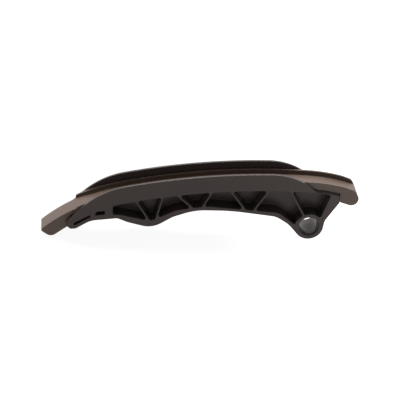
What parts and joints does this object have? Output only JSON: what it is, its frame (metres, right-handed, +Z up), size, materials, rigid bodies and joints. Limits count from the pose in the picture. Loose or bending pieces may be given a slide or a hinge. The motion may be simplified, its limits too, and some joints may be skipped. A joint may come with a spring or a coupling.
{
  "type": "timing chain guide",
  "caption": "Curved black nylon carrier with ribbed pockets and a bored pivot boss, holding a brown nylon sliding shoe that a timing chain runs along between two lips",
  "frame": {"origin": "The middle of the guide's length and width, on the surface that its tip and its pivot boss rest on.", "axes": "+X runs along the guide towards the pivot boss, +Y across its width and square to its symmetry plane, and +Z up out of the face that the chain runs on."},
  "size_m": [0.1923, 0.019, 0.045],
  "materials": {
    "black_nylon": "satin moulded glass-filled nylon",
    "brown_nylon": "smooth moulded unfilled nylon"
  },
  "bodies": {
    "root": {"carrier": "black_nylon", "sliding_shoe": "brown_nylon"}
  },
  "joints": []
}
